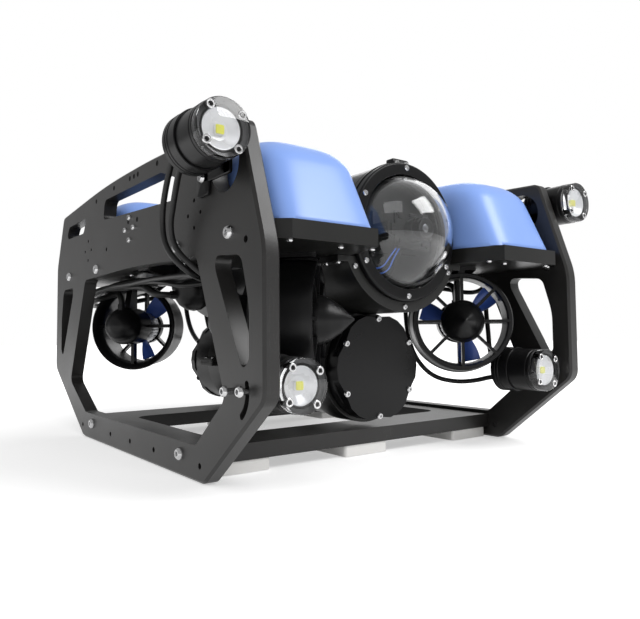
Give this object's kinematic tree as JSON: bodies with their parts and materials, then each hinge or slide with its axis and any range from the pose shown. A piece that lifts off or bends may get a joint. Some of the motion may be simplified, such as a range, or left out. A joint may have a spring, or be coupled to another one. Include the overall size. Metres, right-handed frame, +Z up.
{
  "type": "underwater inspection rov",
  "caption": "Open-frame underwater inspection vehicle with a domed camera tube, a battery tube below, shrouded thrusters, tilting lights and blue buoyancy covers.",
  "frame": {"origin": "on the ground under the middle of the frame", "axes": "+X to port, +Y to the stern (the camera looks along -Y), +Z up"},
  "size_m": [0.424, 0.4576, 0.2509],
  "materials": {
    "panel_black": "satin black sheet, cut edges lighter",
    "fairing_blue": "satin blue formed sheet",
    "anodised_black": "black anodised",
    "clear": "clear acrylic",
    "duct_black": "moulded black",
    "propeller_blue": "moulded blue",
    "stainless": "stainless",
    "ballast_silver": "pale plated metal",
    "board_dark": "boards and tray",
    "battery_wrap": "shrink wrap",
    "cable_black": "black jacket"
  },
  "bodies": {
    "frame": {"side_panel_port": "panel_black", "center_plate_bow_port": "panel_black", "fairing_bow_port": "fairing_blue", "center_plate_stern_port": "panel_black", "fairing_stern_port": "fairing_blue", "side_panel_starboard": "panel_black", "center_plate_bow_starboard": "panel_black", "fairing_bow_starboard": "fairing_blue", "center_plate_stern_starboard": "panel_black", "fairing_stern_starboard": "fairing_blue", "bottom_panel": "panel_black", "ballast_weights": "ballast_silver", "frame_screws": "stainless", "enclosure_tube": "anodised_black", "front_flange": "anodised_black", "dome_retaining_ring": "anodised_black", "camera_dome": "clear", "rear_flange": "anodised_black", "rear_end_cap": "anodised_black", "cable_penetrators": "anodised_black", "tube_cradles": "panel_black", "battery_straps": "panel_black", "electronics_tray": "board_dark", "camera_fork": "board_dark", "battery_tube": "anodised_black", "battery_front_cap": "anodised_black", "battery_rear_cap": "anodised_black", "battery_pack": "battery_wrap", "thruster_nozzle_bow_port": "duct_black", "thruster_nozzle_stern_port": "duct_black", "thruster_nozzle_lift_port": "duct_black", "thruster_nozzle_bow_starboard": "duct_black", "thruster_nozzle_stern_starboard": "duct_black", "thruster_nozzle_lift_starboard": "duct_black", "battery_cables": "cable_black", "light_cable_low_port": "cable_black", "light_cable_low_starboard": "cable_black", "light_cable_top_port": "cable_black", "light_cable_top_starboard": "cable_black", "thruster_cables_port": "cable_black", "thruster_cables_starboard": "cable_black"},
    "propeller_bow_port": {"propeller_bow_port": "propeller_blue"},
    "propeller_stern_port": {"propeller_stern_port": "propeller_blue"},
    "propeller_lift_port": {"propeller_lift_port": "propeller_blue"},
    "propeller_bow_starboard": {"propeller_bow_starboard": "propeller_blue"},
    "propeller_stern_starboard": {"propeller_stern_starboard": "propeller_blue"},
    "propeller_lift_starboard": {"propeller_lift_starboard": "propeller_blue"},
    "light_top_port": {"light_housing_top_port": "anodised_black", "light_lens_top_port": "clear", "light_bracket_top_port": "anodised_black"},
    "light_low_port": {"light_housing_low_port": "anodised_black", "light_lens_low_port": "clear", "light_bracket_low_port": "anodised_black"},
    "light_top_starboard": {"light_housing_top_starboard": "anodised_black", "light_lens_top_starboard": "clear", "light_bracket_top_starboard": "anodised_black"},
    "light_low_starboard": {"light_housing_low_starboard": "anodised_black", "light_lens_low_starboard": "clear", "light_bracket_low_starboard": "anodised_black"},
    "camera": {"camera_module": "board_dark"}
  },
  "joints": [
    {"name": "spin_bow_port", "type": "hinge", "parent": "frame", "child": "propeller_bow_port", "pos_m": [0.0974, -0.154, 0.1141], "axis": [-0.7071, -0.7071, 0], "continuous": true},
    {"name": "spin_stern_port", "type": "hinge", "parent": "frame", "child": "propeller_stern_port", "pos_m": [0.0974, 0.147, 0.1141], "axis": [-0.7071, 0.7071, 0], "continuous": true},
    {"name": "spin_lift_port", "type": "hinge", "parent": "frame", "child": "propeller_lift_port", "pos_m": [0.1067, -0.008, 0.1905], "axis": [0, 0, 1], "continuous": true},
    {"name": "tilt_light_low_port", "type": "hinge", "parent": "frame", "child": "light_low_port", "pos_m": [0.1563, -0.19, 0.067], "axis": [1, 0, 0], "range_deg": [-10, 48], "deforming": ["light_cable_low_port"]},
    {"name": "tilt_light_top_port", "type": "hinge", "parent": "frame", "child": "light_top_port", "pos_m": [0.171, -0.153, 0.213], "axis": [1, 0, 0], "range_deg": [-15, 20], "deforming": ["light_cable_top_port"]},
    {"name": "spin_bow_starboard", "type": "hinge", "parent": "frame", "child": "propeller_bow_starboard", "pos_m": [-0.0974, -0.154, 0.1141], "axis": [0.7071, -0.7071, 0], "continuous": true},
    {"name": "spin_stern_starboard", "type": "hinge", "parent": "frame", "child": "propeller_stern_starboard", "pos_m": [-0.0974, 0.147, 0.1141], "axis": [0.7071, 0.7071, 0], "continuous": true},
    {"name": "spin_lift_starboard", "type": "hinge", "parent": "frame", "child": "propeller_lift_starboard", "pos_m": [-0.1067, -0.008, 0.1905], "axis": [0, 0, 1], "continuous": true},
    {"name": "tilt_light_low_starboard", "type": "hinge", "parent": "frame", "child": "light_low_starboard", "pos_m": [-0.1563, -0.19, 0.067], "axis": [1, 0, 0], "range_deg": [-10, 48], "deforming": ["light_cable_low_starboard"]},
    {"name": "tilt_light_top_starboard", "type": "hinge", "parent": "frame", "child": "light_top_starboard", "pos_m": [-0.171, -0.153, 0.213], "axis": [1, 0, 0], "range_deg": [-15, 20], "deforming": ["light_cable_top_starboard"]},
    {"name": "tilt_camera", "type": "hinge", "parent": "frame", "child": "camera", "pos_m": [0, -0.182, 0.1865], "axis": [1, 0, 0], "range_deg": [-45, 45]}
  ]
}
